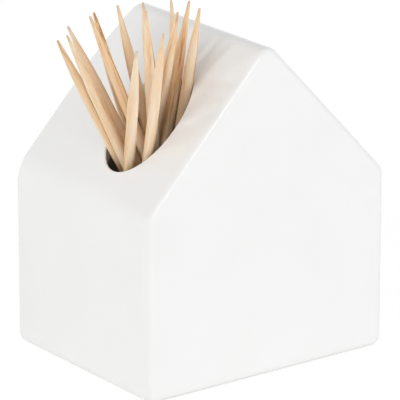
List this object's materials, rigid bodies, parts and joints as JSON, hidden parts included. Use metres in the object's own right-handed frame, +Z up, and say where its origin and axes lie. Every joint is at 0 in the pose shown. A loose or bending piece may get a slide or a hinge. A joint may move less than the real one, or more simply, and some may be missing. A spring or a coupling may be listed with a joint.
{
  "type": "toothpick holder",
  "caption": "White porcelain toothpick holder in the form of a gabled house, hollow, with a round mouth in one roof slope and loose wooden toothpicks fanning out of it.",
  "frame": {"origin": "centre of the flat base, on the surface that the holder stands on", "axes": "+X to the right across the front gable, +Y backwards along the ridge, +Z up; the front gable faces -Y and the mouth is in the roof slope on the -X side"},
  "size_m": [0.056, 0.039, 0.0659],
  "materials": {
    "porcelain": "gloss",
    "birch": "satin"
  },
  "bodies": {
    "holder": {"house_body": "porcelain"},
    "toothpick_01": {"toothpick_01": "birch"},
    "toothpick_02": {"toothpick_02": "birch"},
    "toothpick_03": {"toothpick_03": "birch"},
    "toothpick_04": {"toothpick_04": "birch"},
    "toothpick_05": {"toothpick_05": "birch"},
    "toothpick_06": {"toothpick_06": "birch"},
    "toothpick_07": {"toothpick_07": "birch"},
    "toothpick_08": {"toothpick_08": "birch"},
    "toothpick_09": {"toothpick_09": "birch"},
    "toothpick_10": {"toothpick_10": "birch"},
    "toothpick_11": {"toothpick_11": "birch"},
    "toothpick_12": {"toothpick_12": "birch"},
    "toothpick_13": {"toothpick_13": "birch"},
    "toothpick_14": {"toothpick_14": "birch"}
  },
  "joints": [
    {"name": "toothpick_01_lift", "type": "slide", "parent": "holder", "child": "toothpick_01", "axis": [-0.5067, -0.084, 0.858], "range_m": [0, 0.06]},
    {"name": "toothpick_02_lift", "type": "slide", "parent": "holder", "child": "toothpick_02", "axis": [-0.472, -0.0073, 0.8815], "range_m": [0, 0.06]},
    {"name": "toothpick_03_lift", "type": "slide", "parent": "holder", "child": "toothpick_03", "axis": [-0.4701, -0.0883, 0.8782], "range_m": [0, 0.06]},
    {"name": "toothpick_04_lift", "type": "slide", "parent": "holder", "child": "toothpick_04", "axis": [-0.4076, -0.0244, 0.9129], "range_m": [0, 0.06]},
    {"name": "toothpick_05_lift", "type": "slide", "parent": "holder", "child": "toothpick_05", "axis": [-0.3862, -0.1566, 0.909], "range_m": [0, 0.06]},
    {"name": "toothpick_06_lift", "type": "slide", "parent": "holder", "child": "toothpick_06", "axis": [-0.3449, -0.1611, 0.9247], "range_m": [0, 0.06]},
    {"name": "toothpick_07_lift", "type": "slide", "parent": "holder", "child": "toothpick_07", "axis": [-0.2449, -0.4339, 0.8671], "range_m": [0, 0.06]},
    {"name": "toothpick_08_lift", "type": "slide", "parent": "holder", "child": "toothpick_08", "axis": [-0.2823, -0.2467, 0.9271], "range_m": [0, 0.06]},
    {"name": "toothpick_09_lift", "type": "slide", "parent": "holder", "child": "toothpick_09", "axis": [-0.2205, -0.2334, 0.947], "range_m": [0, 0.06]},
    {"name": "toothpick_10_lift", "type": "slide", "parent": "holder", "child": "toothpick_10", "axis": [-0.1628, -0.3916, 0.9056], "range_m": [0, 0.06]},
    {"name": "toothpick_11_lift", "type": "slide", "parent": "holder", "child": "toothpick_11", "axis": [-0.2469, -0.2484, 0.9366], "range_m": [0, 0.06]},
    {"name": "toothpick_12_lift", "type": "slide", "parent": "holder", "child": "toothpick_12", "axis": [-0.0929, -0.3785, 0.9209], "range_m": [0, 0.06]},
    {"name": "toothpick_13_lift", "type": "slide", "parent": "holder", "child": "toothpick_13", "axis": [-0.065, -0.3287, 0.9422], "range_m": [0, 0.06]},
    {"name": "toothpick_14_lift", "type": "slide", "parent": "holder", "child": "toothpick_14", "axis": [-0.1032, -0.3537, 0.9297], "range_m": [0, 0.06]}
  ]
}
